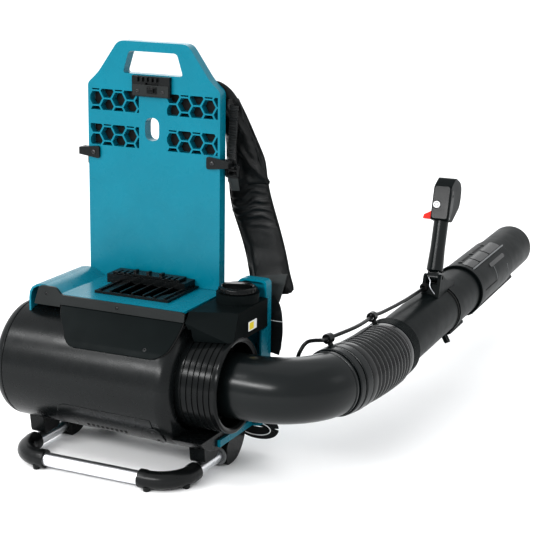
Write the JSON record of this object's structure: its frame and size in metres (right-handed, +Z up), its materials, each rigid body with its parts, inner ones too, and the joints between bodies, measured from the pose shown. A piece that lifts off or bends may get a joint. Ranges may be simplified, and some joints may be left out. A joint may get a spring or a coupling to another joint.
{
  "type": "backpack leaf blower",
  "caption": "Backpack leaf blower: carrying frame with battery bay, axial fan in a cylindrical housing, swivelling elbow, bellows and blower pipe with a control handle.",
  "frame": {"origin": "bottom centre of the bounding box, on the ground under the machine", "axes": "+Z up; +Y points from the battery bay to the wearer and is the way the nozzle points; +X is the side the air leaves the fan"},
  "size_m": [0.6879, 1.4529, 0.777],
  "materials": {
    "teal_plastic": "smooth moulded plastic with a soft gloss",
    "black_plastic": "black moulded plastic, semi gloss",
    "grey_plastic": "dark grey moulded plastic, fine matt grain",
    "black_rubber": "moulded rubber",
    "black_fabric": "woven nylon over foam",
    "red_plastic": "gloss",
    "white_plastic": "satin",
    "circuit_board": "solder mask",
    "aluminium": "satin drawn tube",
    "steel": "machined"
  },
  "bodies": {
    "frame": {"back_panel": "teal_plastic", "rear_housing": "teal_plastic", "panel_spacer": "black_rubber", "latch_plate": "black_plastic", "strap_anchor_left": "black_plastic", "strap_anchor_right": "black_plastic", "connector_tray": "black_plastic", "terminal_block": "grey_plastic", "fan_housing": "black_plastic", "intake_ring": "black_plastic", "intake_grille": "black_plastic", "outlet_collar": "black_plastic", "front_cover": "black_plastic", "deck_trim": "grey_plastic", "side_cover": "black_plastic", "control_board": "circuit_board", "heat_sink": "aluminium", "motor_mount": "grey_plastic", "motor_can": "steel", "tail_cone": "black_plastic", "motor_bearing": "steel", "foot_tube": "aluminium", "corner_foot_left": "black_rubber", "corner_foot_right": "black_rubber", "rear_bracket_left": "black_plastic", "rear_bracket_right": "black_plastic", "heel": "black_rubber", "housing_bracket_left": "black_plastic", "housing_bracket_right": "black_plastic", "shoulder_strap_right": "black_fabric", "shoulder_strap_left": "black_fabric", "back_pad_left": "black_fabric", "back_pad_right": "black_fabric", "waist_pad_left": "black_fabric", "waist_pad_right": "black_fabric", "swivel_ring": "black_rubber", "cable_grommet": "black_rubber"},
    "latch": {"latch_catch": "black_plastic"},
    "knob": {"adjuster_knob": "black_plastic"},
    "rotor": {"motor_shaft": "steel", "impeller": "grey_plastic"},
    "elbow": {"elbow": "black_plastic", "elbow_cuff": "black_plastic", "cable_clip_near": "black_rubber", "bellows": "black_rubber", "cable_bellows": "black_rubber", "cable_elbow": "black_rubber"},
    "pipe": {"pipe_cuff": "black_plastic", "cable_clip_far": "black_rubber", "main_pipe": "black_plastic", "inner_pipe": "black_plastic", "handle_clamp": "black_plastic", "handle_pin": "steel", "cable_pipe": "black_rubber"},
    "nozzle": {"nozzle": "black_plastic"},
    "handle": {"grip": "grey_plastic", "control_head": "black_plastic"},
    "trigger": {"trigger": "black_plastic"},
    "lever": {"lock_lever": "red_plastic"},
    "button": {"power_button": "white_plastic"}
  },
  "joints": [
    {"name": "impeller_spin", "type": "hinge", "parent": "frame", "child": "rotor", "pos_m": [-0.207, -0.598, 0.177], "axis": [1, 0, 0], "continuous": true},
    {"name": "elbow_swivel", "type": "hinge", "parent": "frame", "child": "elbow", "pos_m": [0.073, -0.599, 0.185], "axis": [1, 0, 0], "range_deg": [-25, 60], "deforming": ["cable_elbow"]},
    {"name": "bellows_bend", "type": "hinge", "parent": "elbow", "child": "pipe", "pos_m": [0.275, -0.381, 0.185], "axis": [0, 0, 1], "range_deg": [-15, 15], "deforming": ["bellows", "cable_bellows"]},
    {"name": "nozzle_slide", "type": "slide", "parent": "pipe", "child": "nozzle", "axis": [-0.0584, 0.9983, -0.0078], "range_m": [-0.06, 0.05]},
    {"name": "handle_tilt", "type": "hinge", "parent": "pipe", "child": "handle", "pos_m": [0.269, 0.00962, 0.26663], "axis": [0.9983, 0.0584, -0.0005], "range_deg": [-20, 20]},
    {"name": "trigger_pull", "type": "hinge", "parent": "handle", "child": "trigger", "pos_m": [0.26584, 0.06446, 0.36813], "axis": [0.9983, 0.0584, -0.0005], "range_deg": [-12, 0], "stiffness_Nm_per_rad": 0.4, "springref_deg": 5.73},
    {"name": "lock_lever_turn", "type": "hinge", "parent": "handle", "child": "lever", "pos_m": [0.24693, 0.04547, 0.39565], "axis": [0.9983, 0.0584, -0.0005], "range_deg": [0, 20]},
    {"name": "power_button_press", "type": "slide", "parent": "handle", "child": "button", "axis": [-0.0553, 0.9413, -0.333], "range_m": [0, 0.0015], "stiffness_N_per_m": 400},
    {"name": "knob_turn", "type": "hinge", "parent": "frame", "child": "knob", "pos_m": [0.077, -0.523, 0.34], "axis": [0, 0, 1], "range_deg": [0, 90]},
    {"name": "latch_lift", "type": "slide", "parent": "frame", "child": "latch", "axis": [0, 0, 1], "range_m": [0, 0.006], "stiffness_N_per_m": 800, "springref_m": -0.002}
  ]
}
